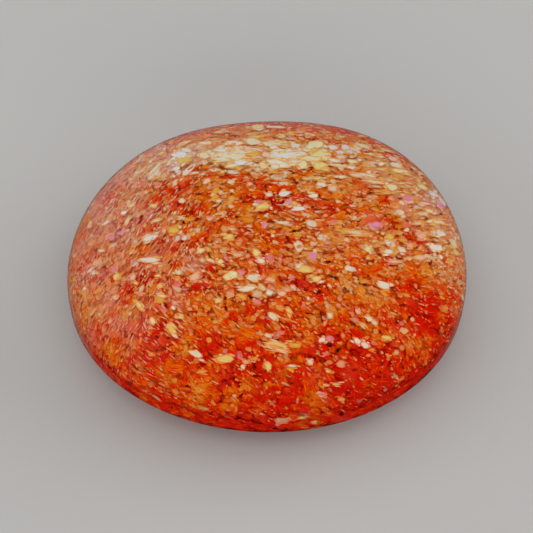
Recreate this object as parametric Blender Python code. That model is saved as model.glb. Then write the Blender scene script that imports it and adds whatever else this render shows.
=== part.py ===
"""Oval sunstone: one polished stone with a broad domed top, a soft shoulder and a bevel down to a flat back.

Metres, +Z up. The stone rests on its flat back, and the origin is on that face, under the
middle of the stone. X is its length and Y is its width.
"""

import math

import bmesh
import bpy

# Driving dimensions, in metres
LENGTH = 0.0200
WIDTH = 0.0175
DOME_HEIGHT = 0.0042
GIRDLE_BAND = 0.0003
BACK_HEIGHT = 0.0015

# The dome's section is a superellipse: 2 is an ellipse, and more is a flatter top with a rounder shoulder
DOME_POWER = 2.8
# The flat back's size as a share of the girdle's, and how full the curve between them is
BACK_SHARE = 0.80
BACK_POWER = 1.7

# How far the hand-cut outline leaves a true ellipse, as (waves round the stone, cosine share, sine share)
OUTLINE_LOBES = (
    (2, 0.0, 0.007),
    (3, -0.0055, 0.002),
    (4, -0.0095, 0.0),
    (5, 0.0, -0.005),
)

# Facets: steps round the outline, and rings in the dome and in the bevel
STEPS_ROUND = 96
DOME_RINGS = 18
BACK_RINGS = 5
SHARP_EDGE_DEGREES = 40

NODE_NAME = "sunstone"
GIRDLE_TOP = BACK_HEIGHT + GIRDLE_BAND


def outline_radius(angle):
    """The girdle's distance from the middle, before it is sized to LENGTH and WIDTH."""
    ellipse = 1 / math.hypot(math.cos(angle) / (LENGTH / 2), math.sin(angle) / (WIDTH / 2))
    lobes = sum(c * math.cos(n * angle) + s * math.sin(n * angle) for n, c, s in OUTLINE_LOBES)
    return ellipse * (1 + lobes)


def outline():
    """The girdle's points in the plane, centred on the origin and LENGTH by WIDTH over all."""
    angles = [math.tau * i / STEPS_ROUND for i in range(STEPS_ROUND)]
    radii = [outline_radius(a) for a in angles]
    sized = []
    for along, size in ((math.cos, LENGTH), (math.sin, WIDTH)):
        values = [radius * along(angle) for radius, angle in zip(radii, angles)]
        low, high = min(values), max(values)
        sized.append([(v - (low + high) / 2) * size / (high - low) for v in values])
    return list(zip(*sized))


def section():
    """The stone's section from the back's rim up to the last ring under the summit, as (share, height)."""
    rings = []
    for i in range(BACK_RINGS + 1):
        rise = i / BACK_RINGS
        rings.append((1 - (1 - BACK_SHARE) * (1 - rise) ** BACK_POWER, BACK_HEIGHT * rise))
    for i in range(DOME_RINGS):
        turn = math.pi / 2 * i / DOME_RINGS
        share = math.cos(turn) ** (2 / DOME_POWER)
        rings.append((share, GIRDLE_TOP + DOME_HEIGHT * math.sin(turn) ** (2 / DOME_POWER)))
    return rings


def stone_mesh():
    """One closed mesh: rings of the outline joined one to the next, a flat back and a fan at the summit."""
    rim = outline()
    bm = bmesh.new()
    rings = [
        [bm.verts.new((x * share, y * share, height)) for x, y in rim] for share, height in section()
    ]
    for lower, upper in zip(rings, rings[1:]):
        for i in range(STEPS_ROUND):
            j = (i + 1) % STEPS_ROUND
            bm.faces.new((lower[i], lower[j], upper[j], upper[i]))
    bm.faces.new(reversed(rings[0]))
    summit = bm.verts.new((0, 0, GIRDLE_TOP + DOME_HEIGHT))
    top = rings[-1]
    for i in range(STEPS_ROUND):
        bm.faces.new((top[i], top[(i + 1) % STEPS_ROUND], summit))
    mesh = bpy.data.meshes.new(NODE_NAME)
    bm.to_mesh(mesh)
    bm.free()
    mesh.shade_smooth()
    mesh.set_sharp_from_angle(angle=math.radians(SHARP_EDGE_DEGREES))
    return mesh


def stone_material():
    """Orange-red feldspar with a high polish."""
    material = bpy.data.materials.new("polished_sunstone")
    material.use_nodes = True
    shader = material.node_tree.nodes["Principled BSDF"]
    shader.inputs["Base Color"].default_value = (0.54, 0.14, 0.05, 1)
    shader.inputs["Metallic"].default_value = 0
    shader.inputs["Roughness"].default_value = 0.12
    shader.inputs["IOR"].default_value = 1.54
    return material


def build():
    for thing in list(bpy.data.objects):
        bpy.data.objects.remove(thing)
    stone = bpy.data.objects.new(NODE_NAME, stone_mesh())
    stone.data.materials.append(stone_material())
    bpy.context.scene.collection.objects.link(stone)


build()
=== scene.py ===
"""Looks of the oval sunstone: a clear, warm feldspar body with tens of thousands of thin platelets.

Lengths are in millimetres until a mesh is made, and the stone's sizes come from the frame.
"""

import math
from dataclasses import dataclass
from typing import Callable

import bpy
import numpy as np
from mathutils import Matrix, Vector


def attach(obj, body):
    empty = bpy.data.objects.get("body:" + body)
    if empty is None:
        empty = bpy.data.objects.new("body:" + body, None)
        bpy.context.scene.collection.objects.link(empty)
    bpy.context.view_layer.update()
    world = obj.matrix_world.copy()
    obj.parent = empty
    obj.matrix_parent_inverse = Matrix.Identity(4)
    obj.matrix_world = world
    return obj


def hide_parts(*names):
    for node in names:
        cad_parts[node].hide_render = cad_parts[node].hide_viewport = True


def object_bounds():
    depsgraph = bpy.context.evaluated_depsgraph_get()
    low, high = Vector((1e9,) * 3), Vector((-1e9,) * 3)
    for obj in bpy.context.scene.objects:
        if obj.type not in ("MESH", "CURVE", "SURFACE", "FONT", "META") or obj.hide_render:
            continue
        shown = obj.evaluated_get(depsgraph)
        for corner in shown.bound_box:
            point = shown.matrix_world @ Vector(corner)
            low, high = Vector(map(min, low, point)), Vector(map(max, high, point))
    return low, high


MM = 0.001

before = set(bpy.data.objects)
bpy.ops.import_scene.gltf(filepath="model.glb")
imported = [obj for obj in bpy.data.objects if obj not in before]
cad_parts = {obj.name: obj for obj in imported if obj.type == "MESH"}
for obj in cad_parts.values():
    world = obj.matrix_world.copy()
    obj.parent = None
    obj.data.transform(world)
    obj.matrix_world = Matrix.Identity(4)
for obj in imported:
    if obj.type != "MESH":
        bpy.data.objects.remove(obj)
cad_low, cad_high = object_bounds()

# The stone's form, in millimetres
LENGTH = (cad_high.x - cad_low.x) / MM
WIDTH = (cad_high.y - cad_low.y) / MM
HEIGHT = (cad_high.z - cad_low.z) / MM
DOME_HEIGHT = 4.2
GIRDLE_BAND = 0.3
BACK_HEIGHT = HEIGHT - DOME_HEIGHT - GIRDLE_BAND
GIRDLE_TOP = BACK_HEIGHT + GIRDLE_BAND
# The dome's section is a superellipse: 2 is an ellipse, and more is a flatter top with a rounder shoulder
DOME_POWER = 2.8
# The flat back's size as a share of the girdle's, and how full the curve between them is
BACK_SHARE = 0.80
BACK_POWER = 1.7
# How much of a level step in from the bevel is depth under it, since the bevel leans
BEVEL_LEAN = 0.65
# How far the hand-cut outline leaves a true ellipse, as (waves round the stone, cosine share, sine share),
# fitted to the outline in the photograph and rounded
OUTLINE_LOBES = (
    (2, 0.0, 0.007),
    (3, -0.0055, 0.002),
    (4, -0.0095, 0.0),
    (5, 0.0, -0.005),
)
# Facets: steps round the outline, and rings in the dome and in the bevel
STEPS_ROUND = 288
DOME_RINGS = 72
BACK_RINGS = 14
SHARP_EDGE_DEGREES = 35

# The camera: its height and distance are chosen, and the rest is fitted to the stone's outline in
# the photograph's frame
IMAGE_SIDE = 533
CAMERA_ELEVATION = math.radians(56)
CAMERA_DISTANCE = 70
FOCAL_PIXELS = 1383.9
PIXELS_RIGHT = 0.57
PIXELS_DOWN = 7.77
SENSOR_WIDTH = 36
# The photograph's own right, up and away
RIGHT = np.array((1, 0, 0))
UP = np.array((0, math.sin(CAMERA_ELEVATION), math.cos(CAMERA_ELEVATION)))
AHEAD = np.array((0, math.cos(CAMERA_ELEVATION), -math.sin(CAMERA_ELEVATION)))

# Clear feldspar: how it bends and tints light, and the faint waves in its polish
FELDSPAR_IOR = 1.54
ABSORPTION_COLOUR = (0.985, 0.50, 0.12, 1)
ABSORPTION_DENSITY = 240
POLISH_SCALE = 160
POLISH_STRENGTH = 0.2
POLISH_DISTANCE = 0.0001

# Where the colours gather on the stone, and the band of painted glints, in millimetres from its middle. A
# patch is (x, y, size)
# The band of painted glints along the back and the right, as points and a half width: painted highlights
# where the platelets catch the light
PAINTED_GLINT_BAND = (
    (-5.5, 4.3), (-4.0, 4.9), (-1.6, 4.8), (1.5, 4.8), (4.2, 4.6), (6.1, 4.1), (7.7, 3.0), (8.7, 1.5),
    (9.2, -0.2),
)
PAINTED_GLINT_BAND_HALF = 1.2
UMBER_PATCHES = (
    (-1.1, 1.6, 2.0), (0.4, 0.2, 1.8), (8.2, -3.6, 1.8), (-3.6, 2.4, 1.8), (1.6, 2.8, 1.5),
    (-2.6, -6.6, 1.3),
)
GOLD_PATCHES = (
    (4.6, -2.4, 2.2), (2.6, -4.8, 1.3), (-1.3, -4.7, 1.3), (5.2, -6.2, 1.2), (8.2, 1.4, 1.6),
    (-1.2, 3.2, 1.2), (2.4, 3.3, 1.2),
)
ROSE_PATCHES = ((-7.4, -1.0, 2.6), (-3.8, -2.4, 1.2), (6.8, 1.2, 1.6))

# Areas that rise from 0 to 1 in one direction, as (where an area begins, over how many millimetres)
TOWARD_FRONT = (1.5, 6.0)
TOWARD_LEFT = (3.0, 4.0)
TOWARD_RIGHT = (4.0, 3.0)
TOWARD_RIGHT_END = (6.6, 1.8)
RIGHT_END_FROM_FRONT = (-3.4, 3.2)
# The right front's direction is a slant, as shares of x and of minus y
RIGHT_FRONT_SLANT = (0.75, 0.66)
TOWARD_RIGHT_FRONT = (3.0, 6.0)
VEIL_FROM_FRONT = (-7.0, 4.0)
ABOVE_GIRDLE = (0.3, 0.7)
PALE_BANDS_END = (5.0, 8 / 3)
# The back rim rises over a range of shares of this oval, which is (half length, half width)
RIM_OVAL = (9.2, 7.9)
TOWARD_RIM = (0.86, 0.1)
BACK_RIM_FROM_MIDDLE = (1.0, 4.0)

# The way the platelets lie, as (x, y, direction in degrees), and how far each direction reaches
GRAIN = (
    (2.0, 4.5, -3), (5.0, 2.5, -2), (8.8, 1.0, 26), (-7.0, 0.5, 58), (-8.6, -3.2, 55), (-3.0, -5.0, -36),
    (4.0, -4.5, -34),
)
GRAIN_REACH = 4.0
LEAST_WEIGHT = 1e-6

# A mottle is a sum of waves, each of its wavelength times a factor in a range. It is read at flattened
# points, so its patches run deep into the stone
MOTTLE_WAVES = 12
MOTTLE_RANGE = (0.7, 1.6)
MOTTLE_FLATTENED = (1, 1, 0.3)
MOTTLE_SOFTNESS = 2.4

# The ground's patches: drawn out along the stone, as (seed, wavelength in millimetres, weight)
GROUND_STRETCH = (0.8, 1.25, 1.0)
GROUND_WAVES = ((101, 2.6, 0.28), (102, 1.3, 0.36), (108, 0.55, 0.36))
GROUND_LOW = -0.068
GROUND_CONTRAST = 1.22
# The ground's ramp, as (place on it, colour), and the colour that it has where it is peach
GROUND_RAMP = (
    (0.0, (0.86, 0.012, 0.0005)),
    (0.2, (0.94, 0.050, 0.001)),
    (0.4, (0.965, 0.165, 0.002)),
    (0.6, (0.97, 0.29, 0.008)),
    (0.8, (0.97, 0.42, 0.04)),
    (1.0, (0.97, 0.56, 0.15)),
)
PEACH_COLOUR = (0.96, 0.41, 0.23)
PEACH_WAVES = (106, 1.4)
PEACH_CONTRAST = 2.4
PEACH_LOW = -0.6
# The pale bands' patches are drawn out further
PALE_BANDS_STRETCH = (0.5, 1.6, 1)

# The bed lies up to this height over the girdle, dense outside a share of the radius and thin inside it
BED_HEIGHT = 0.3
BED_RIM = 0.6
BED_INSIDE = 0.1

# How platelets are placed at random, and how those that come too near the surface are made smaller
POINTS_AT_A_TIME = 40000
CLEARANCE = 0.02
FITTING_TRIES = 8
SHRINK = 0.8
SMALLEST_HALF = 0.02
# How far a platelet's corners lie from an even round, as shares of a step and of the half length
CORNER_SHIFT = 0.28
CORNER_REACH = (0.6, 1.0)
# Half of its thickness: a share of the half length, and a least thickness on top of that
THICKNESS_SHARE = 0.03
THINNEST = 0.0015
# The step over which the way to the surface is measured, and the least numbers that are divided by
SLOPE_STEP = 0.02
LEAST_SHARE = 1e-4
LEAST_SLOPE = 1e-9

# A platelet's own shade: the share of it that goes by patches, their seed and wavelength, and two areas, of
# which the glint band's lighter shade is painted highlight
PATCHY = 0.5
SHADE_WAVES = (107, 3.0)
LIGHTER_IN_GLINT_BAND = 0.30
DARKER_IN_FRONT = 0.50
# How far the ground differs from one platelet to the next, and how wide a glint's soft edge is
GROUND_OWN = 0.07
SOFT_EDGE = 0.11
# The streaks along each platelet: their size, the range of its own place in the noise, and their strength
STREAK_LENGTH = 0.40
STREAK_WIDTH = 0.07
STREAK_PLACES = 200
STREAK_DETAIL = 3
GROUND_STREAKS = 1.6
GLINT_STREAKS = 1.2

# A glint's ramp, and its edge: warmer over one range of the edge value, and faded into the ground over
# the other, where the ground is a little lighter as a painted glow round the glint
GLINT_STOPS = (0.0, 0.32, 0.65)
EDGE_WARMTH = 0.35
EDGE_WARMS = (-0.6, 0.8)
EDGE_FADES = (0.3, 1.0)
PAINTED_HALO_LIFT = 0.30
GLINT_METALLIC = 0.05
GLINT_ROUGHNESS = 0.35
GLINT_SPECULAR = 0.5
DULL_ROUGHNESS = 0.5
# The places of a colour Mix node's sockets
MIX_FACTOR = 0
MIX_FIRST = 6
MIX_SECOND = 7
MIX_RESULT = 2

# The platelets that stand out most, one by one, read from the photograph, as (colour, pixel x,
# pixel y, length, width, direction), with the sizes in millimetres on a level face and the direction in
# degrees
LARGE_PLATELETS = (
    ("cream", 180, 155, 0.85, 0.50, -4), ("cream", 176, 169, 0.45, 0.38, 0),
    ("gold", 184, 161, 0.60, 0.40, 8), ("straw", 204, 156, 0.50, 0.45, 20),
    ("cream", 253, 142, 0.85, 0.50, -6), ("straw", 257, 128, 0.60, 0.35, 20),
    ("straw", 281, 137, 0.50, 0.30, 0), ("peach", 301, 133, 0.50, 0.22, 0),
    ("straw", 238, 156, 2.00, 0.75, 2), ("cream", 241, 163, 0.70, 0.40, 4),
    ("straw", 232, 166, 0.80, 0.28, 4), ("peach", 266, 155, 0.40, 0.40, 0),
    ("cream", 284, 156, 1.55, 0.85, 3), ("straw", 277, 144, 1.45, 0.38, 0),
    ("cream", 295, 146, 0.50, 0.33, 0), ("straw", 315, 145, 0.80, 0.50, 6),
    ("cream", 275, 167, 0.50, 0.33, 0), ("straw", 263, 166, 0.42, 0.45, 20),
    ("straw", 303, 165, 0.50, 0.55, 0), ("straw", 321, 156, 1.00, 0.60, 0),
    ("straw", 320, 166, 0.80, 0.48, 0), ("cream", 335, 161, 0.80, 0.26, -4),
    ("cream", 333, 148, 0.50, 0.36, -4), ("cream", 346, 148, 0.52, 0.32, -2),
    ("straw", 357, 149, 0.45, 0.24, -4), ("straw", 362, 138, 0.50, 0.20, -8),
    ("straw", 353, 162, 0.55, 0.30, 0), ("cream", 352, 168, 0.60, 0.24, 0),
    ("straw", 386, 152, 0.80, 0.22, -6), ("peach", 392, 160, 0.50, 0.34, 0),
    ("cream", 395, 166, 0.72, 0.30, -3), ("straw", 380, 170, 0.62, 0.18, -3),
    ("straw", 400, 172, 0.90, 0.30, -4), ("cream", 363, 176, 1.30, 0.30, -8),
    ("straw", 374, 182, 1.05, 0.28, -6), ("peach", 389, 181, 0.42, 0.20, -6),
    ("straw", 419, 175, 0.70, 0.30, -22), ("straw", 392, 188, 0.65, 0.40, -2),
    ("gold", 386, 192, 1.05, 0.28, -4), ("straw", 422, 188, 0.62, 0.30, -14),
    ("cream", 432, 195, 0.52, 0.32, -14), ("cream", 440, 202, 0.36, 0.36, 0),
    ("rose", 440, 207, 0.40, 0.28, -20), ("rose", 408, 199, 0.50, 0.40, 0),
    ("peach", 424, 204, 0.70, 0.20, -4), ("cream", 400, 213, 0.50, 0.38, 0),
    ("straw", 429, 212, 0.52, 0.26, -4), ("rose", 334, 222, 0.34, 0.26, 0),
    ("straw", 418, 224, 0.46, 0.22, 0), ("straw", 438, 223, 0.90, 0.32, -3),
    ("cream", 440, 234, 0.55, 0.42, 0), ("peach", 421, 236, 0.45, 0.45, 0),
    ("straw", 452, 244, 0.50, 0.50, -10), ("cream", 436, 248, 0.70, 0.44, -6),
    ("cream", 388, 243, 0.34, 0.24, 0), ("straw", 368, 250, 0.40, 0.42, 0),
    ("peach", 394, 262, 0.80, 0.24, -4), ("straw", 454, 253, 0.42, 0.28, -10),
    ("peach", 420, 258, 0.60, 0.30, -4), ("peach", 410, 246, 0.40, 0.34, 0),
    ("cream", 231, 182, 0.40, 0.26, 0), ("cream", 232, 191, 0.26, 0.20, 0),
    ("straw", 223, 172, 0.26, 0.24, 0), ("peach", 277, 179, 0.60, 0.14, 0),
    ("straw", 317, 179, 0.70, 0.18, 0), ("cream", 321, 185, 0.52, 0.28, -8),
    ("peach", 333, 189, 0.50, 0.38, 0), ("cream", 269, 195, 0.42, 0.28, 0),
    ("cream", 284, 194, 0.65, 0.38, 10), ("cream", 313, 196, 0.50, 0.36, 0),
    ("cream", 182, 201, 0.32, 0.32, 0), ("rose", 259, 202, 0.34, 0.28, 0),
    ("cream", 271, 208, 0.22, 0.18, 0), ("cream", 298, 209, 0.85, 0.32, 6),
    ("rose", 288, 202, 0.40, 0.30, 0), ("cream", 219, 201, 0.30, 0.20, 0),
    ("peach", 250, 184, 0.26, 0.22, 0), ("straw", 262, 207, 0.75, 0.40, 14),
    ("cream", 266, 216, 0.22, 0.18, 0), ("cream", 283, 223, 0.75, 0.24, -4),
    ("rose", 265, 225, 0.32, 0.30, 0), ("cream", 273, 236, 0.22, 0.22, 0),
    ("straw", 182, 218, 0.40, 0.22, 0), ("cream", 175, 213, 0.24, 0.16, 20),
    ("peach", 210, 219, 0.36, 0.26, 0), ("straw", 229, 237, 0.52, 0.34, 0),
    ("straw", 201, 251, 0.34, 0.30, 0), ("straw", 220, 262, 0.34, 0.30, 0),
    ("peach", 238, 255, 0.50, 0.32, -10), ("straw", 256, 253, 0.40, 0.40, 0),
    ("cream", 261, 261, 0.50, 0.34, -10), ("rose", 269, 258, 0.42, 0.34, 0),
    ("rose", 313, 256, 0.55, 0.42, 10), ("rose", 376, 225, 0.65, 0.42, -6),
    ("straw", 356, 233, 1.45, 0.34, -3), ("straw", 231, 276, 0.75, 0.50, 10),
    ("cream", 253, 278, 0.75, 0.36, -12), ("rose", 262, 277, 0.26, 0.20, 0),
    ("peach", 271, 280, 0.46, 0.30, 0), ("cream", 248, 289, 0.90, 0.34, 0),
    ("straw", 305, 270, 0.70, 0.44, -16), ("straw", 316, 279, 0.62, 0.38, 8),
    ("cream", 384, 285, 0.75, 0.44, -14), ("cream", 389, 252, 0.56, 0.28, 0),
    ("cream", 270, 293, 0.38, 0.28, 0), ("peach", 282, 294, 0.42, 0.30, 0),
    ("rose", 292, 278, 0.30, 0.30, 0), ("peach", 287, 290, 0.40, 0.28, 0),
    ("peach", 230, 295, 0.36, 0.40, 0), ("rose", 257, 302, 0.40, 0.28, -30),
    ("straw", 218, 301, 0.36, 0.30, -30), ("rose", 178, 285, 0.30, 0.26, 0),
    ("straw", 203, 271, 0.30, 0.20, 0), ("peach", 195, 277, 0.50, 0.48, 0),
    ("cream", 178, 272, 0.40, 0.28, -20), ("cream", 299, 267, 0.30, 0.38, 0),
    ("gold", 242, 297, 0.42, 0.30, -20), ("peach", 175, 303, 0.34, 0.26, -30),
    ("straw", 131, 206, 0.46, 0.24, 24), ("straw", 154, 206, 0.50, 0.30, 10),
    ("cream", 124, 213, 0.30, 0.28, 0), ("straw", 156, 221, 0.52, 0.20, 14),
    ("gold", 174, 230, 0.62, 0.46, 0), ("cream", 151, 238, 0.78, 0.38, 22),
    ("straw", 92, 236, 0.28, 0.16, 30), ("cream", 101, 251, 0.36, 0.22, 10),
    ("rose", 123, 233, 0.50, 0.28, 10), ("rose", 111, 237, 0.40, 0.30, 20),
    ("cream", 149, 260, 1.00, 0.34, -4), ("straw", 148, 267, 0.26, 0.20, 0),
    ("peach", 97, 263, 0.50, 0.24, 24), ("cream", 91, 270, 0.52, 0.16, 40),
    ("rose", 114, 270, 0.36, 0.30, 0), ("straw", 116, 277, 0.40, 0.34, 40),
    ("peach", 133, 277, 0.30, 0.38, 0), ("straw", 158, 276, 0.30, 0.24, 0),
    ("straw", 160, 286, 0.26, 0.30, 0), ("straw", 136, 283, 0.32, 0.20, -20),
    ("peach", 140, 293, 0.50, 0.20, -10), ("straw", 161, 296, 0.60, 0.22, -6),
    ("gold", 160, 301, 0.40, 0.34, 0), ("rose", 163, 310, 0.42, 0.28, -44),
    ("cream", 173, 308, 0.30, 0.24, -20), ("straw", 180, 316, 0.38, 0.28, -24),
    ("straw", 140, 306, 0.68, 0.30, -48), ("straw", 153, 321, 0.48, 0.36, -50),
    ("straw", 171, 329, 0.78, 0.40, -38), ("peach", 93, 313, 0.42, 0.18, 44),
    ("cream", 330, 316, 0.34, 0.30, -30), ("cream", 369, 319, 0.40, 0.30, -30),
    ("cream", 374, 323, 0.34, 0.26, -20), ("straw", 289, 311, 0.46, 0.26, -48),
    ("cream", 273, 316, 0.50, 0.42, -40), ("cream", 268, 336, 0.42, 0.28, -20),
    ("rose", 281, 333, 0.32, 0.24, 0), ("straw", 277, 346, 1.10, 0.48, -14),
    ("gold", 294, 345, 0.70, 0.32, -6), ("cream", 322, 340, 0.38, 0.32, 0),
    ("rose", 330, 339, 0.38, 0.34, 0), ("cream", 357, 341, 0.40, 0.32, -30),
    ("cream", 365, 345, 0.40, 0.34, -30), ("gold", 372, 350, 0.30, 0.24, 0),
    ("straw", 386, 338, 0.62, 0.32, -10), ("gold", 388, 356, 0.26, 0.22, 0),
    ("cream", 310, 362, 0.40, 0.28, -30), ("cream", 292, 366, 0.52, 0.22, -6),
    ("rose", 326, 354, 0.30, 0.22, 0), ("straw", 268, 366, 0.55, 0.40, -60),
    ("gold", 255, 359, 0.32, 0.30, 0), ("peach", 246, 362, 0.42, 0.28, -20),
    ("peach", 341, 364, 0.46, 0.38, 0), ("straw", 328, 371, 0.30, 0.22, -20),
    ("straw", 326, 385, 0.30, 0.20, -10), ("straw", 336, 384, 0.50, 0.20, 0),
    ("rose", 322, 394, 0.42, 0.24, -10), ("straw", 341, 399, 0.36, 0.24, -10),
    ("straw", 302, 417, 0.36, 0.22, -10), ("straw", 314, 421, 0.30, 0.20, -10),
    ("peach", 282, 420, 0.60, 0.42, 0), ("cream", 243, 367, 0.30, 0.28, -20),
    ("cream", 196, 354, 0.76, 0.44, -18), ("straw", 226, 359, 0.85, 0.48, -10),
    ("gold", 202, 372, 0.44, 0.22, -10),
)
# The cream and straw ramps' pale ends are painted highlights of platelets that catch the light
LARGE_COLOURS = {
    "cream": ((0.94, 0.84, 0.54), (0.94, 0.94, 0.80), (0.94, 0.97, 0.97)),
    "straw": ((0.97, 0.68, 0.15), (0.97, 0.83, 0.34), (0.96, 0.91, 0.62)),
    "gold": ((0.96, 0.42, 0.01), (0.95, 0.56, 0.02), (0.94, 0.70, 0.12)),
    "rose": ((0.95, 0.24, 0.24), (0.94, 0.29, 0.42), (0.92, 0.36, 0.62)),
    "peach": ((0.97, 0.46, 0.22), (0.96, 0.62, 0.42), (0.95, 0.78, 0.64)),
}
# The colours that a large platelet's own leaves may have beside its first
NEAR_COLOURS = {
    "cream": ("cream", "cream", "straw"),
    "straw": ("straw", "straw", "cream", "gold"),
    "gold": ("gold", "straw"),
    "rose": ("rose", "peach", "cream"),
    "peach": ("peach", "peach", "rose", "straw"),
}
LARGE_SEED = 31
LARGE_CORNERS = 8
LARGE_DEPTH = 0.05
# How much deeper a large platelet lies, so that its ends stay under the curved surface, for 1 mm of length
SAG = 0.012
# How far a platelet that is seen at a slant may be drawn out to look its size
MOST_STRETCHED = 1.8
# A platelet longer than this has slim leaves, and more of them
LONGEST_WHOLE = 1.0
LEAVES = 6
SLIM_LEAVES = 22
# The leaves: their turn in degrees, then their places and sizes as shares of the platelet's
LEAF_TURN = 3.4
LEAF_ASIDE = 0.6
LEAF_AHEAD = 0.45
LEAF_LENGTHS = (0.5, 1.0)
LEAF_WIDTHS = (0.35, 0.8)
SLIM_WIDTHS = (0.14, 0.34)
FIRST_SIZE = 1.3
# How much deeper the other leaves lie, and the first leaf of a platelet with slim ones
LEAF_DEEPER = (0.005, 0.03)
SLIM_FIRST_DEEPER = 0.022
# How finely the line of sight is followed to a place in the stone
SIGHT_STEP = 0.01

FLOOR_HALF = 6000
FLOOR_COLOUR = (0.4, 0.392, 0.38, 1)
FLOOR_ROUGHNESS = 0.7
# Lights, as (name, azimuth, elevation, distance, size, strength)
LIGHTS = (
    ("key_overhead", 190, 77, 1040, (2080, 2080), 1.15),
    ("front_fill", 5, 13, 1200, (1840, 720), 3.7),
    ("right_fill", 105, 22, 1200, (1300, 700), 3.5),
    ("left_fill", 285, 18, 1200, (1300, 700), 2.4),
)
# The room's light: in its glow, in a strip under that, and all round
WORLD_COLOUR = (1.0, 0.98, 0.96, 1)
WORLD_GLOW = 0.58
WORLD_UNDER = 0.1
WORLD_DIM = 0.015
# Their soft edges, as (direction that an edge faces, where it begins, where it is full)
GLOW_TOP = ((0.5, 0, 1), 0.15, 0.60)
GLOW_SIDE = ((-0.9, 0.35, 0), -0.3, 1.0)
GLOW_BOTTOM = ((0, 0.9, 1), -0.1, 0.75)
STRIP_TOP = ((0, 0, -1), 0.3, 0.6)
STRIP_SIDE = ((0, 1, 0), 0.1, 0.4)


def raw_radius(angle):
    """The girdle's radius before it is sized, for one angle or an array of them."""
    ellipse = 1 / np.hypot(np.cos(angle) / (LENGTH / 2), np.sin(angle) / (WIDTH / 2))
    lobes = sum(c * np.cos(n * angle) + s * np.sin(n * angle) for n, c, s in OUTLINE_LOBES)
    return ellipse * (1 + lobes)


def outline(steps):
    """The girdle's points, centred on the origin and LENGTH by WIDTH over all, as an array of x and y."""
    angle = math.tau * np.arange(steps) / steps
    points = np.stack([raw_radius(angle) * np.cos(angle), raw_radius(angle) * np.sin(angle)], 1)
    low, high = points.min(0), points.max(0)
    return (points - (low + high) / 2) * np.array([LENGTH, WIDTH]) / (high - low)


def section():
    """The stone's section from the back's rim up to the last ring under the summit, as (share, height)."""
    rings = []
    for i in range(BACK_RINGS + 1):
        rise = i / BACK_RINGS
        rings.append((1 - (1 - BACK_SHARE) * (1 - rise) ** BACK_POWER, BACK_HEIGHT * rise))
    for i in range(DOME_RINGS):
        turn = math.pi / 2 * i / DOME_RINGS
        share = math.cos(turn) ** (2 / DOME_POWER)
        rings.append((share, GIRDLE_TOP + DOME_HEIGHT * math.sin(turn) ** (2 / DOME_POWER)))
    return rings


def linked(name, data):
    """A new object in the scene for a mesh, a light or a camera."""
    thing = bpy.data.objects.new(name, data)
    bpy.context.scene.collection.objects.link(thing)
    return thing


def mesh_from(name, points, faces):
    """A mesh object from points in millimetres."""
    mesh = bpy.data.meshes.new(name)
    mesh.from_pydata((np.asarray(points) * MM).tolist(), [], faces)
    mesh.update()
    return linked(name, mesh)


def stone_body():
    """The whole stone as one closed mesh, in the same form as the CAD solid and finer."""
    rim = outline(STEPS_ROUND)
    points = []
    for share, height in section():
        points += [(x * share, y * share, height) for x, y in rim]
    rings = len(points) // STEPS_ROUND
    points.append((0, 0, HEIGHT))
    faces = [tuple(range(STEPS_ROUND - 1, -1, -1))]
    for ring in range(rings - 1):
        lower, upper = ring * STEPS_ROUND, (ring + 1) * STEPS_ROUND
        for i in range(STEPS_ROUND):
            j = (i + 1) % STEPS_ROUND
            faces.append((lower + i, lower + j, upper + j, upper + i))
    top = (rings - 1) * STEPS_ROUND
    faces += [(top + i, top + (i + 1) % STEPS_ROUND, len(points) - 1) for i in range(STEPS_ROUND)]
    body = mesh_from("sunstone_body", points, faces)
    body.data.shade_smooth()
    body.data.set_sharp_from_angle(angle=math.radians(SHARP_EDGE_DEGREES))
    return body


def principled(name):
    """A new material, its node tree and its shader."""
    material = bpy.data.materials.new(name)
    material.use_nodes = True
    return material, material.node_tree, material.node_tree.nodes["Principled BSDF"]


def math_node(tree, operation, first, second):
    """A Math node, whose inputs are sockets or numbers."""
    node = tree.nodes.new("ShaderNodeMath")
    node.operation = operation
    for socket, value in zip(node.inputs, (first, second)):
        if isinstance(value, (int, float)):
            socket.default_value = value
        else:
            tree.links.new(value, socket)
    return node.outputs[0]


def soft_step(tree, value, low, high):
    """0 up to the low value and 1 from the high one, with a smooth rise between them."""
    node = tree.nodes.new("ShaderNodeMapRange")
    node.interpolation_type = "SMOOTHSTEP"
    node.inputs["From Min"].default_value = low
    node.inputs["From Max"].default_value = high
    tree.links.new(value, node.inputs["Value"])
    return node.outputs["Result"]


def attribute(tree, name, output="Fac"):
    """The value that a mesh stores for each of its points."""
    node = tree.nodes.new("ShaderNodeAttribute")
    node.attribute_name = name
    return node.outputs[output]


def ramp(tree, place, stops):
    """A colour ramp, with its stops as (place on it, colour)."""
    node = tree.nodes.new("ShaderNodeValToRGB")
    elements = node.color_ramp.elements
    for element, (position, colour) in zip(elements, (stops[0], stops[-1])):
        element.position = position
        element.color = (*colour, 1)
    for position, colour in stops[1:-1]:
        elements.new(position).color = (*colour, 1)
    tree.links.new(place, node.inputs["Fac"])
    return node.outputs["Color"]


def mixed(tree, share, first, second):
    """A blend of two colours, each a socket or a plain colour."""
    node = tree.nodes.new("ShaderNodeMix")
    node.data_type = "RGBA"
    for place, value in ((MIX_FACTOR, share), (MIX_FIRST, first), (MIX_SECOND, second)):
        if isinstance(value, tuple):
            node.inputs[place].default_value = (*value, 1)
        else:
            tree.links.new(value, node.inputs[place])
    return node.outputs[MIX_RESULT]


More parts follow.
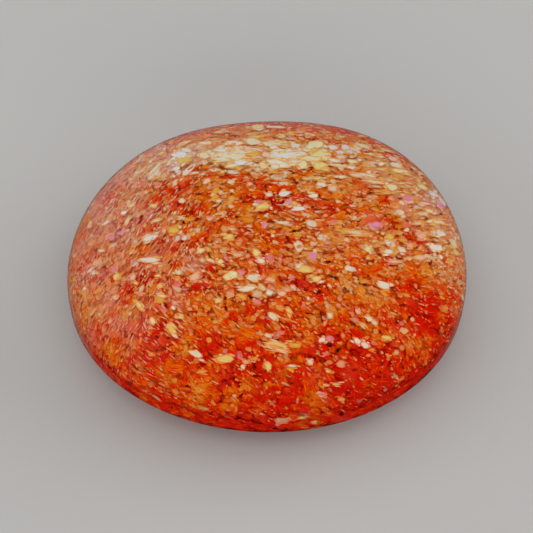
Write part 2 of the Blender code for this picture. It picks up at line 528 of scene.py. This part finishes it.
def feldspar():
    """Clear, polished feldspar that tints what is deep in it orange-red."""
    material, tree, shader = principled("clear_feldspar")
    shader.inputs["Base Color"].default_value = (1, 1, 1, 1)
    shader.inputs["Roughness"].default_value = 0.0
    shader.inputs["IOR"].default_value = FELDSPAR_IOR
    shader.inputs["Transmission Weight"].default_value = 1
    noise = tree.nodes.new("ShaderNodeTexNoise")
    noise.inputs["Scale"].default_value = POLISH_SCALE
    noise.inputs["Detail"].default_value = 1
    where = tree.nodes.new("ShaderNodeTexCoord")
    tree.links.new(where.outputs["Object"], noise.inputs["Vector"])
    bump = tree.nodes.new("ShaderNodeBump")
    bump.inputs["Strength"].default_value = POLISH_STRENGTH
    bump.inputs["Distance"].default_value = POLISH_DISTANCE
    tree.links.new(noise.outputs["Fac"], bump.inputs["Height"])
    tree.links.new(bump.outputs["Normal"], shader.inputs["Normal"])
    absorb = tree.nodes.new("ShaderNodeVolumeAbsorption")
    absorb.inputs["Color"].default_value = ABSORPTION_COLOUR
    absorb.inputs["Density"].default_value = ABSORPTION_DENSITY
    tree.links.new(absorb.outputs[0], tree.nodes["Material Output"].inputs["Volume"])
    return material


def streak_noise(tree, strength):
    """Fine streaks along each platelet, about 0 in the mean."""
    noise = tree.nodes.new("ShaderNodeTexNoise")
    noise.inputs["Scale"].default_value = 1
    noise.inputs["Detail"].default_value = STREAK_DETAIL
    tree.links.new(attribute(tree, "streak", "Vector"), noise.inputs["Vector"])
    return math_node(tree, "MULTIPLY", math_node(tree, "SUBTRACT", noise.outputs["Fac"], 0.5), strength)


def ground_colour(tree, lift=0.0):
    """The ground's colour at a place: a ramp from umber to gold, mixed toward peach, with fine streaks."""
    streaks = streak_noise(tree, GROUND_STREAKS)
    place = math_node(tree, "ADD", math_node(tree, "ADD", attribute(tree, "ground"), lift), streaks)
    return mixed(tree, attribute(tree, "peach"), ramp(tree, place, GROUND_RAMP), PEACH_COLOUR)


def ground_material():
    """The dull copper platelets that the eye takes for one orange-red ground."""
    name = "copper_ground"
    if name in bpy.data.materials:
        return bpy.data.materials[name]
    material, tree, shader = principled(name)
    tree.links.new(ground_colour(tree), shader.inputs["Base Color"])
    shader.inputs["Roughness"].default_value = DULL_ROUGHNESS
    shader.inputs["Specular IOR Level"].default_value = 0
    return material


def glinting_material(name, colours, dull=False):
    """A platelet's colour, drawn from a ramp, that fades into the ground's toward its thin edge; pale cream
    and white in a ramp are painted highlights.
    """
    material, tree, shader = principled(name)
    streaks = streak_noise(tree, GLINT_STREAKS)
    edge = attribute(tree, "edge")
    warmer = math_node(tree, "MULTIPLY", soft_step(tree, edge, *EDGE_WARMS), EDGE_WARMTH)
    place = math_node(tree, "SUBTRACT", math_node(tree, "ADD", attribute(tree, "shade"), streaks), warmer)
    own = ramp(tree, place, tuple(zip(GLINT_STOPS, colours)))
    # Round a glint the ground is lighter: a painted glow
    around = ground_colour(tree, lift=0 if dull else PAINTED_HALO_LIFT)
    fade = soft_step(tree, edge, *EDGE_FADES)
    tree.links.new(mixed(tree, fade, own, around), shader.inputs["Base Color"])
    shader.inputs["Metallic"].default_value = 0 if dull else GLINT_METALLIC
    shader.inputs["Roughness"].default_value = DULL_ROUGHNESS if dull else GLINT_ROUGHNESS
    shader.inputs["Specular IOR Level"].default_value = 0 if dull else GLINT_SPECULAR
    return material


def depth_in_stone(p):
    """Roughly how far under the stone's surface each point is, in millimetres. Negative is outside."""
    angle = np.arctan2(p[:, 1], p[:, 0])
    reach = raw_radius(angle)
    share = np.hypot(p[:, 0], p[:, 1]) / reach
    rise = np.clip(p[:, 2] - GIRDLE_TOP, 0, None) / DOME_HEIGHT
    safe = np.clip(share, LEAST_SHARE, None)
    level = (safe**DOME_POWER + rise**DOME_POWER) ** (1 / DOME_POWER)
    slope_out = (safe / level) ** (DOME_POWER - 1) / reach
    slope_up = (rise / level) ** (DOME_POWER - 1) / DOME_HEIGHT
    dome = (1 - level) / np.hypot(slope_out, slope_up)
    low = np.clip(1 - p[:, 2] / BACK_HEIGHT, 0, 1)
    bevel_share = 1 - (1 - BACK_SHARE) * low**BACK_POWER
    bevel = (bevel_share - share) * reach * BEVEL_LEAN
    return np.minimum.reduce([dome, bevel, p[:, 2]])


def outward_slope(p):
    """The direction in which the stone's surface is nearest."""
    depth = depth_in_stone(p)
    nearby = np.stack([depth_in_stone(p + SLOPE_STEP * axis) for axis in np.eye(3)], 1)
    outward = (depth[:, None] - nearby) / SLOPE_STEP
    return outward / (np.linalg.norm(outward, axis=1, keepdims=True) + LEAST_SLOPE)


def unit(vectors):
    """The same directions, 1 long."""
    return vectors / np.linalg.norm(vectors, axis=1, keepdims=True)


def limited(share, least=0.0):
    """The share, kept between its least value and 1."""
    return np.clip(share, least, 1)


def rising(values, start, over):
    """0 up to the start, then up to 1 over that distance."""
    return limited((values - start) / over)


def glint_band_share(p):
    """How near each point is to the band of painted glints along the back and the right, from 0 to 1."""
    nearest = np.full(len(p), np.inf)
    for start, end in zip(PAINTED_GLINT_BAND, PAINTED_GLINT_BAND[1:]):
        start, run = np.array(start), np.subtract(end, start)
        along = np.clip((p[:, :2] - start) @ run / (run @ run), 0, 1)
        nearest = np.minimum(nearest, np.linalg.norm(p[:, :2] - start - along[:, None] * run, axis=1))
    return np.exp(-((nearest / PAINTED_GLINT_BAND_HALF) ** 2))


def patch_share(p, patches):
    """How near each point is to the middle of its nearest patch, from 0 to 1."""
    shares = [np.exp(-(np.hypot(p[:, 0] - x, p[:, 1] - y) / size) ** 2) for x, y, size in patches]
    return np.maximum.reduce(shares)


def front_share(p):
    """From 0 behind the middle to 1 at the front edge."""
    return rising(-p[:, 1], *TOWARD_FRONT)


def left_share(p):
    """From 0 over most of the stone to 1 at its left end."""
    return rising(-p[:, 0], *TOWARD_LEFT)


def right_front_share(p):
    """From 0 at the middle to 1 at the right front edge."""
    sideways, forward = RIGHT_FRONT_SLANT
    return rising(p[:, 0] * sideways - p[:, 1] * forward, *TOWARD_RIGHT_FRONT)


def right_rim_share(p):
    """From 0 over most of the stone to 1 at its right end, behind the front."""
    return rising(p[:, 0], *TOWARD_RIGHT_END) * rising(p[:, 1], *RIGHT_END_FROM_FRONT)


def back_rim_share(p):
    """From 0 at the glint band to 1 at the back edge, where the ground is painted darker as shade and peach
    as a reflection.
    """
    half_length, half_width = RIM_OVAL
    outward = np.hypot(p[:, 0] / half_length, p[:, 1] / half_width)
    return rising(outward, *TOWARD_RIM) * rising(p[:, 1], *BACK_RIM_FROM_MIDDLE)


def clear_rim_share(p):
    """1 over most of the stone, falling to 0 in the clear zone low down along the front edge."""
    return 1 - limited(2 * front_share(p)) * (1 - rising(p[:, 2] - GIRDLE_TOP, *ABOVE_GIRDLE))


def painted_veil_share(p):
    """From 0 to 1 in the rose veil over the left end, which stops short of the front edge: a painted
    reflection on the polish.
    """
    return left_share(p) * rising(p[:, 1], *VEIL_FROM_FRONT)


def even_density(p):
    """The same everywhere."""
    return np.ones(len(p))


# The areas that the ground and the density of the platelets go by
AREAS = {
    "everywhere": even_density,
    "band": glint_band_share,
    "front": front_share,
    "left": left_share,
    "veil": painted_veil_share,
    "right": lambda p: rising(p[:, 0], *TOWARD_RIGHT),
    "bands_end": lambda p: rising(p[:, 0], *PALE_BANDS_END),
    "right_front": right_front_share,
    "right_rim": right_rim_share,
    "back_rim": back_rim_share,
    "front_rim": lambda p: 1 - clear_rim_share(p),
    "umber": lambda p: patch_share(p, UMBER_PATCHES),
    "gold": lambda p: patch_share(p, GOLD_PATCHES),
    "rose": lambda p: patch_share(p, ROSE_PATCHES),
    "rosy": lambda p: np.maximum(painted_veil_share(p), patch_share(p, ROSE_PATCHES)),
}


def added(p, **weights):
    """The sum of the named areas at each point, each times its weight."""
    return sum(weight * AREAS[area](p) for area, weight in weights.items())


def thinned(p, **shares):
    """1 at each point, less in each named area by its share."""
    return math.prod(1 - share * AREAS[area](p) for area, share in shares.items())


def mottle(p, seed, wavelength):
    """A smooth random field from 0 to 1, whose patches are about half a wavelength across."""
    draw = np.random.default_rng(seed)
    flattened = p * MOTTLE_FLATTENED
    total = np.zeros(len(p))
    for _ in range(MOTTLE_WAVES):
        direction = draw.normal(size=3)
        direction *= math.tau / (wavelength * draw.uniform(*MOTTLE_RANGE) * np.linalg.norm(direction))
        total += np.sin(flattened @ direction + draw.uniform(0, math.tau))
    return 0.5 + 0.5 * np.tanh(total / MOTTLE_SOFTNESS)


def patchy(p, evenly, in_patches, seed, wavelength, power=1):
    """A density that is partly even and partly gathered in random patches."""
    return evenly + in_patches * mottle(p, seed, wavelength) ** power


def grain_direction(p):
    """The mean direction of the platelets' long sides, in radians."""
    doubled = np.zeros((len(p), 2))
    for x, y, degrees in GRAIN:
        weight = np.exp(-(np.hypot(p[:, 0] - x, p[:, 1] - y) / GRAIN_REACH) ** 2) + LEAST_WEIGHT
        twice = math.radians(2 * degrees)
        doubled += weight[:, None] * (math.cos(twice), math.sin(twice))
    return 0.5 * np.arctan2(doubled[:, 1], doubled[:, 0])


def ground_share(p):
    """How light the ground is, from 0 for umber through red and orange to 1 for gold."""
    drawn_out = p * GROUND_STRETCH
    patches = sum(weight * mottle(drawn_out, seed, wavelength) for seed, wavelength, weight in GROUND_WAVES)
    # Lighter in the glint band and at the right end as painted highlight, and in the gold patches; darker
    # toward the front, at the right front, in the umber patches and at the front rim, and along the back
    # rim as painted shade
    lighter = added(p, band=0.36, right_rim=0.16, gold=0.18)
    darker = added(p, front=0.33, right_front=0.20, umber=0.16, front_rim=0.26, back_rim=0.38)
    return limited(GROUND_LOW + GROUND_CONTRAST * patches + lighter - darker)


def peach_share(p):
    """How far the ground is peach instead, which it mostly is on the left: partly the ground's own colour,
    and in the veil and along the back rim a painted reflection of a pale glow on the polish.
    """
    spread = added(p, everywhere=0.09, rosy=0.43, band=0.20)
    spread -= added(p, right_front=0.15, front=0.12, umber=0.10)
    patches = spread * (PEACH_CONTRAST * mottle(p * GROUND_STRETCH, *PEACH_WAVES) + PEACH_LOW)
    # The veil's and the back rim's peach is a painted reflection
    return limited(patches + added(p, veil=0.08, back_rim=0.22, right_rim=0.22))


def bed_density(p):
    """Dense low down along the rim, where the eye would otherwise look through to the floor."""
    angle = np.arctan2(p[:, 1], p[:, 0])
    rim = np.hypot(p[:, 0], p[:, 1]) > BED_RIM * raw_radius(angle)
    return np.where(p[:, 2] < GIRDLE_TOP + BED_HEIGHT, np.where(rim, 1.0, BED_INSIDE), 0.0)


def speck_density(p):
    """In clusters over all, more at the right end as painted glints, and fewer in front and in the umber
    patches.
    """
    clusters = patchy(p, evenly=0.30, in_patches=0.60, seed=109, wavelength=1.1)
    clusters += added(p, right_rim=0.4)
    return clusters * thinned(p, umber=0.45, front=0.8) * clear_rim_share(p)


def gold_density(p):
    """In patches over all, and densest in the glint band, where they add to its painted highlights."""
    spread = added(p, everywhere=0.40, band=0.9) - added(p, front=0.20, right_front=0.2)
    spread = limited(spread * thinned(p, left=0.3), least=0.02)
    patches = patchy(p, evenly=0.15, in_patches=0.95, seed=103, wavelength=1.5)
    return spread * clear_rim_share(p) * patches


def cream_density(p):
    """In clusters behind the front, and along the glint band and the right end. Their cream and white are
    painted highlights.
    """
    low = added(p, everywhere=0.46) * thinned(p, front=0.95, right_front=0.6, left=0.1, umber=0.8)
    clusters = patchy(p, evenly=0.12, in_patches=1, seed=104, wavelength=1.3, power=1.5)
    gathered = added(p, everywhere=0.30, right=0.35) * glint_band_share(p) + added(p, right_rim=0.2)
    return limited(low * clusters + gathered, least=0.01) * clear_rim_share(p)


def pale_band_density(p):
    """In streaks along the glint band, and fewer toward its right end: painted highlights."""
    drawn_out = p * PALE_BANDS_STRETCH
    streaks = patchy(drawn_out, evenly=0.1, in_patches=0.9, seed=105, wavelength=1.6, power=1.5)
    gathered = glint_band_share(p) ** 1.5 * thinned(p, bands_end=0.8)
    return limited(gathered * streaks, least=0.002)


def rose_density(p):
    """Some over all, and most in the rose patches."""
    return added(p, everywhere=0.25, rose=0.75) * clear_rim_share(p)


def fine_density(p):
    """The hatching of the left end, with a little elsewhere."""
    return added(p, everywhere=0.08, left=0.92) * thinned(p, front=0.6) * clear_rim_share(p)


def umber_density(p):
    """With the hatching, and along the back edge."""
    return limited(fine_density(p) + added(p, back_rim=0.8))


@dataclass
class Family:
    """One kind of platelet. Sizes and depths are in millimetres, angles in degrees.

    Its length has a typical value, a spread and a most, and its width is a share of that. It turns from the
    grain, tilts from level, and follows the stone's surface by a share.
    """
    name: str
    seed: int
    count: int
    typical: float
    spread: float
    largest: float
    widths: tuple
    corners: int
    turn: float
    tilt: float
    follow: float
    depths: tuple
    density: Callable
    colours: tuple
    dull: bool = False


# Platelets of the ground have no colours of their own
GROUND = ()
FAMILIES = (
    Family("deep", 11, 18500, 0.54, 0.35, 1.0, (0.5, 0.95), 5, 40, 8, 0.60, (0.30, 1.1), even_density,
           GROUND),
    Family("bed", 13, 13000, 0.55, 0.3, 0.9, (0.5, 0.95), 5, 40, 8, 0.75, (0.07, 0.8), bed_density,
           GROUND),
    Family("middle", 1, 10500, 0.46, 0.38, 0.9, (0.45, 0.9), 5, 25, 4, 0.6, (0.10, 0.5), clear_rim_share,
           GROUND),
    Family("specks", 14, 12500, 0.20, 0.48, 0.50, (0.4, 0.85), 6, 30, 7, 0.5, (0.05, 0.30), speck_density,
           ((0.97, 0.33, 0.045), (0.97, 0.50, 0.19), (0.95, 0.72, 0.46))),
    Family("gold", 3, 2600, 0.32, 0.45, 0.8, (0.3, 0.85), 6, 20, 7, 0.5, (0.09, 0.6), gold_density,
           ((0.96, 0.46, 0.008), (0.95, 0.62, 0.03), (0.94, 0.76, 0.18))),
    # Cream and pale_bands platelets: their pale colours are painted highlights of platelets that catch the
    # light
    Family("cream", 4, 2700, 0.29, 0.55, 0.9, (0.35, 0.9), 6, 20, 6, 0.5, (0.07, 0.35), cream_density,
           ((0.95, 0.64, 0.30), (0.94, 0.85, 0.56), (0.93, 0.95, 0.90))),
    Family("pale_bands", 8, 1200, 0.9, 0.4, 1.7, (0.2, 0.4), 6, 8, 3, 0.4, (0.07, 0.35), pale_band_density,
           ((0.96, 0.74, 0.20), (0.95, 0.88, 0.48), (0.94, 0.95, 0.88))),
    Family("rose", 5, 1300, 0.28, 0.40, 0.60, (0.4, 0.9), 6, 24, 7, 0.2, (0.08, 0.45), rose_density,
           ((0.96, 0.28, 0.26), (0.95, 0.36, 0.44), (0.93, 0.40, 0.64))),
    Family("fine_pale", 9, 5500, 0.42, 0.35, 0.75, (0.10, 0.21), 5, 8, 5, 0.4, (0.04, 0.25), fine_density,
           ((0.97, 0.60, 0.36), (0.96, 0.80, 0.57), (0.95, 0.90, 0.80))),
    Family("fine_umber", 6, 6500, 0.40, 0.35, 0.7, (0.10, 0.22), 5, 10, 6, 0.4, (0.04, 0.30), umber_density,
           ((0.74, 0.06, 0.005), (0.81, 0.10, 0.010), (0.86, 0.18, 0.02)), dull=True),
)


def places_in_stone(draw, count, depths, density):
    """Points drawn at random between two depths, as dense as that function says."""
    found = np.empty((0, 3))
    box = ((-LENGTH / 2, -WIDTH / 2, 0), (LENGTH / 2, WIDTH / 2, HEIGHT))
    while len(found) < count:
        p = draw.uniform(*box, (POINTS_AT_A_TIME, 3))
        depth = depth_in_stone(p)
        p = p[(depth > depths[0]) & (depth < depths[1])]
        found = np.concatenate([found, p[density(p) > draw.random(len(p))]])
    return found[:count]


def triangle_mesh(name, points, faces):
    """A flat-shaded mesh from arrays of points in millimetres and of triangles."""
    mesh = bpy.data.meshes.new(name)
    mesh.vertices.add(len(points))
    mesh.vertices.foreach_set("co", (points * MM).astype(np.float32).ravel())
    mesh.loops.add(faces.size)
    mesh.loops.foreach_set("vertex_index", faces.ravel().astype(np.int32))
    mesh.polygons.add(len(faces))
    mesh.polygons.foreach_set("loop_start", np.arange(0, faces.size, 3, dtype=np.int32))
    mesh.update(calc_edges=True)
    mesh.shade_flat()
    return mesh


def put_attribute(mesh, name, values):
    """Stores one number or one vector for each point of a mesh."""
    kind, field = ("FLOAT", "value") if values.ndim == 1 else ("FLOAT_VECTOR", "vector")
    mesh_attribute = mesh.attributes.new(name, kind, "POINT")
    mesh_attribute.data.foreach_set(field, values.astype(np.float32).ravel())


def platelets_object(name, draw, centres, size, widths, normal, along, sides, material):
    """One mesh of thin closed platelets, each a flat double pyramid with its own outline and shade."""
    along = unit(along - (along * normal).sum(1, keepdims=True) * normal)
    across = np.cross(normal, along)
    shift = draw.uniform(-CORNER_SHIFT, CORNER_SHIFT, (len(size), sides))
    corner = math.tau * (np.arange(sides) + shift) / sides
    share = draw.uniform(*CORNER_REACH, corner.shape)

    def shaped(half):
        """Each platelet's points: its corners, and a tip above and below its middle."""
        reach = half[:, None] * share
        rim = (
            centres[:, None]
            + (reach * np.cos(corner))[..., None] * along[:, None]
            + (reach * np.sin(corner) * widths[:, None])[..., None] * across[:, None]
        )
        thick = (THICKNESS_SHARE * half[:, None] + THINNEST) * normal
        return np.concatenate([rim, np.stack([centres + thick, centres - thick], 1)], 1)

    # A platelet that would reach the surface is made smaller until it fits
    half = size / 2
    for _ in range(FITTING_TRIES):
        room = depth_in_stone(shaped(half).reshape(-1, 3)).reshape(len(half), -1).min(1)
        half = np.where(room > CLEARANCE, half, half * SHRINK)
    fits = (room > CLEARANCE) & (half > SMALLEST_HALF)
    points = shaped(half)[fits].reshape(-1, 3)
    centres, half, widths, corner, share = (v[fits] for v in (centres, half, widths, corner, share))
    count = len(half)
    each = sides + 2
    pattern = []
    for i in range(sides):
        j = (i + 1) % sides
        pattern += [(i, j, sides), (j, i, sides + 1)]
    faces = (np.array(pattern)[None] + each * np.arange(count)[:, None, None]).reshape(-1, 3)
    mesh = triangle_mesh(name, points, faces)
    mesh.materials.append(material)

    shades = (1 - PATCHY) * draw.random(count) + PATCHY * mottle(centres, *SHADE_WAVES)
    # Lighter in the glint band, which is painted highlight, and darker toward the front
    shades += LIGHTER_IN_GLINT_BAND * glint_band_share(centres) - DARKER_IN_FRONT * front_share(centres)
    put_attribute(mesh, "shade", np.repeat(shades, each))
    own_ground = draw.normal(0, GROUND_OWN, count)
    put_attribute(mesh, "ground", ground_share(points) + np.repeat(own_ground, each))
    put_attribute(mesh, "peach", peach_share(points))

    # The edge value is 1 round a platelet and falls to 0 in its middle, or further where it is wide
    edges = np.ones((count, each))
    edges[:, sides:] = 1 - np.maximum(1, half * widths / SOFT_EDGE)[:, None]
    put_attribute(mesh, "edge", edges.ravel())
    reach = half[:, None] * share
    streaks = np.zeros((count, each, 3))
    streaks[:, :sides, 0] = reach * np.cos(corner) / STREAK_LENGTH
    streaks[:, :sides, 1] = reach * np.sin(corner) * widths[:, None] / STREAK_WIDTH
    streaks[:, :, 2] = draw.uniform(0, STREAK_PLACES, count)[:, None]
    put_attribute(mesh, "streak", streaks)
    print(name, count, "platelets", len(faces), "triangles")
    return linked(name, mesh)


def scattered_platelets(family):
    """One family of platelets, drawn at random as that family says."""
    draw = np.random.default_rng(family.seed)
    centres = places_in_stone(draw, family.count, family.depths, family.density)
    count = len(centres)
    size = np.minimum(family.typical * np.exp(draw.normal(0, family.spread, count)), family.largest)
    lean = np.abs(draw.normal(0, math.radians(family.tilt), count))
    heading = draw.uniform(0, math.tau, count)
    level = np.stack([np.sin(lean) * np.cos(heading), np.sin(lean) * np.sin(heading), np.cos(lean)], 1)
    outward = outward_slope(centres)
    outward *= np.where(outward[:, 2:] < 0, -1, 1)
    normal = unit((1 - family.follow) * level + family.follow * outward)
    grain = grain_direction(centres) + draw.normal(0, math.radians(family.turn), count)
    along = np.stack([np.cos(grain), np.sin(grain), np.zeros(count)], 1)
    if family.colours:
        material = glinting_material(family.name + "_platelets", family.colours, family.dull)
    else:
        material = ground_material()
    widths = draw.uniform(*family.widths, count)
    name = "platelets_" + family.name
    return platelets_object(name, draw, centres, size, widths, normal, along, family.corners, material)


def seen_at(pixel_x, pixel_y, depth):
    """The place at a depth in the stone that the photograph shows at a pixel, leaving refraction out."""
    eye = np.array((0, 0, GIRDLE_TOP)) - AHEAD * CAMERA_DISTANCE
    across = (pixel_x - IMAGE_SIDE / 2 - PIXELS_RIGHT) / FOCAL_PIXELS
    down = (pixel_y - IMAGE_SIDE / 2 - PIXELS_DOWN) / FOCAL_PIXELS
    ray = AHEAD + RIGHT * across - UP * down
    steps = np.arange(CAMERA_DISTANCE - LENGTH / 2, CAMERA_DISTANCE + LENGTH / 2, SIGHT_STEP)
    path = eye + steps[:, None] * ray / np.linalg.norm(ray)
    return path[np.argmax(depth_in_stone(path) > depth)]


def seen_direction(degrees, normal):
    """The vectors across those normals that look 1 mm long at those angles in the photograph."""
    turned = np.radians(degrees)[:, None]
    flat = np.cos(turned) * RIGHT + np.sin(turned) * UP
    return flat - ((flat * normal).sum(1) / (normal @ AHEAD))[:, None] * AHEAD


def leaf_rows():
    """For each leaf its platelet's row, whether it is the first of its platelet, and whether it is slim."""
    rows, first, slim = [], [], []
    for row in LARGE_PLATELETS:
        long = row[3] > LONGEST_WHOLE
        leaves = SLIM_LEAVES if long else LEAVES
        rows += [row] * leaves
        first += [True] + [False] * (leaves - 1)
        slim += [long] * leaves
    return rows, np.array(first), np.array(slim)


def large_platelets():
    """The platelets that can be told one by one, each a pack of thin leaves, as one mesh a colour."""
    draw = np.random.default_rng(LARGE_SEED)
    rows, first, slim = leaf_rows()
    count = len(rows)
    colours = [row[0] if lead else draw.choice(NEAR_COLOURS[row[0]]) for row, lead in zip(rows, first)]
    pixel_x, pixel_y, length, width, degrees = np.array([row[1:] for row in rows]).T

    # Each platelet lies where the photograph shows it, and is drawn out where it is seen at a slant
    depth = LARGE_DEPTH + SAG * length**2
    centres = np.array([seen_at(*place) for place in zip(pixel_x, pixel_y, depth)])
    normal = outward_slope(centres)
    along = seen_direction(degrees + draw.normal(0, LEAF_TURN, count), normal)
    length *= np.clip(np.linalg.norm(along, axis=1), 1, MOST_STRETCHED)
    aslant = np.linalg.norm(seen_direction(degrees + 90, normal), axis=1)
    width *= np.clip(aslant * math.sin(CAMERA_ELEVATION), 1 / MOST_STRETCHED, MOST_STRETCHED)
    along = unit(along)

    # The other leaves lie round the first, a little deeper
    aside = np.where(first, 0, draw.uniform(-LEAF_ASIDE, LEAF_ASIDE, count)) * width
    ahead = np.where(first, 0, draw.uniform(-LEAF_AHEAD, LEAF_AHEAD, count)) * length
    centres += ahead[:, None] * along + aside[:, None] * np.cross(normal, along)
    normal = outward_slope(centres)
    first_deeper = np.where(slim, SLIM_FIRST_DEEPER, 0)
    centres -= np.where(first, first_deeper, draw.uniform(*LEAF_DEEPER, count))[:, None] * normal
    slim_widths = draw.uniform(*SLIM_WIDTHS, count)
    leaf_widths = draw.uniform(*LEAF_WIDTHS, count)
    width *= np.where(first, FIRST_SIZE, np.where(slim, slim_widths, leaf_widths))
    length *= np.where(first, FIRST_SIZE, draw.uniform(*LEAF_LENGTHS, count))

    things = []
    for colour, ramp_colours in LARGE_COLOURS.items():
        own = np.array(colours) == colour
        placed = (centres[own], length[own], (width / length)[own], normal[own], along[own])
        material = glinting_material("large_" + colour, ramp_colours)
        things.append(platelets_object("large_platelets_" + colour, draw, *placed, LARGE_CORNERS, material))
    return things


def floor():
    """A plain pale floor, which the polish does not mirror."""
    signs = ((-1, -1), (1, -1), (1, 1), (-1, 1))
    ground = mesh_from("floor", [(x * FLOOR_HALF, y * FLOOR_HALF, 0) for x, y in signs], [(0, 1, 2, 3)])
    material, tree, shader = principled("pale_floor")
    shader.inputs["Base Color"].default_value = FLOOR_COLOUR
    shader.inputs["Roughness"].default_value = FLOOR_ROUGHNESS
    ground.data.materials.append(material)
    ground.visible_glossy = False


def softbox(name, azimuth, elevation, distance, size, strength):
    """A broad light that faces the stone, and that neither the camera nor the polish shows.

    Azimuth 0 is over the camera and 90 is to the right.
    """
    light = bpy.data.lights.new(name, "AREA")
    light.shape = "RECTANGLE"
    light.size = size[0] * MM
    light.size_y = size[1] * MM
    light.energy = strength * light.size * light.size_y * math.pi
    thing = linked(name, light)
    a, e = math.radians(azimuth), math.radians(elevation)
    away = Vector((math.sin(a) * math.cos(e), -math.cos(a) * math.cos(e), math.sin(e)))
    thing.location = away * distance * MM
    thing.rotation_euler = away.to_track_quat("Z", "Y").to_euler()
    thing.visible_glossy = False
    thing.visible_camera = False


def facing(tree, room, direction, low, high):
    """A soft step over how far each place in the room lies in a direction."""
    dot = tree.nodes.new("ShaderNodeVectorMath")
    dot.operation = "DOT_PRODUCT"
    dot.inputs[1].default_value = direction
    tree.links.new(room, dot.inputs[0])
    return soft_step(tree, dot.outputs["Value"], low, high)


def soft_world():
    """A dim room with a broad pale glow low down, behind the stone and to its left."""
    world = bpy.data.worlds.new("soft_studio")
    world.use_nodes = True
    tree = world.node_tree
    room = tree.nodes.new("ShaderNodeTexCoord").outputs["Generated"]
    below_top = math_node(tree, "SUBTRACT", 1.0, facing(tree, room, *GLOW_TOP))
    glow = math_node(tree, "MULTIPLY", below_top, facing(tree, room, *GLOW_BOTTOM))
    glow = math_node(tree, "MULTIPLY", glow, facing(tree, room, *GLOW_SIDE))
    strip = math_node(tree, "MULTIPLY", facing(tree, room, *STRIP_TOP), facing(tree, room, *STRIP_SIDE))
    strength = math_node(tree, "ADD", math_node(tree, "MULTIPLY", strip, WORLD_UNDER), WORLD_DIM)
    strength = math_node(tree, "ADD", math_node(tree, "MULTIPLY", glow, WORLD_GLOW), strength)
    background = tree.nodes["Background"]
    background.inputs["Color"].default_value = WORLD_COLOUR
    tree.links.new(strength, background.inputs["Strength"])
    bpy.context.scene.world = world


def camera():
    """The photograph's view of the stone."""
    data = bpy.data.cameras.new("camera")
    data.sensor_width = SENSOR_WIDTH
    data.lens = SENSOR_WIDTH * FOCAL_PIXELS / IMAGE_SIDE
    data.shift_x = -PIXELS_RIGHT / IMAGE_SIDE
    data.shift_y = PIXELS_DOWN / IMAGE_SIDE
    data.clip_start = 0.001
    data.clip_end = 10
    thing = linked("camera", data)
    away = Vector((0, -math.cos(CAMERA_ELEVATION), math.sin(CAMERA_ELEVATION)))
    thing.location = (Vector((0, 0, GIRDLE_TOP)) + away * CAMERA_DISTANCE) * MM
    thing.rotation_euler = (math.pi / 2 - CAMERA_ELEVATION, 0, 0)
    bpy.context.scene.camera = thing


body = stone_body()
body.data.materials.append(feldspar())
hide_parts("sunstone")

pieces = [body]
pieces += [scattered_platelets(family) for family in FAMILIES]
pieces += large_platelets()

for piece in pieces:
    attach(piece, "root")

floor()
for light in LIGHTS:
    softbox(*light)
soft_world()
camera()
bpy.context.scene.view_settings.view_transform = "Standard"
# Light is followed further than Blender's defaults do, since it passes many platelets
cycles = bpy.context.scene.cycles
cycles.max_bounces = 80
cycles.diffuse_bounces = 48
cycles.transmission_bounces = 48
cycles.glossy_bounces = 32
cycles.sample_clamp_indirect = 60
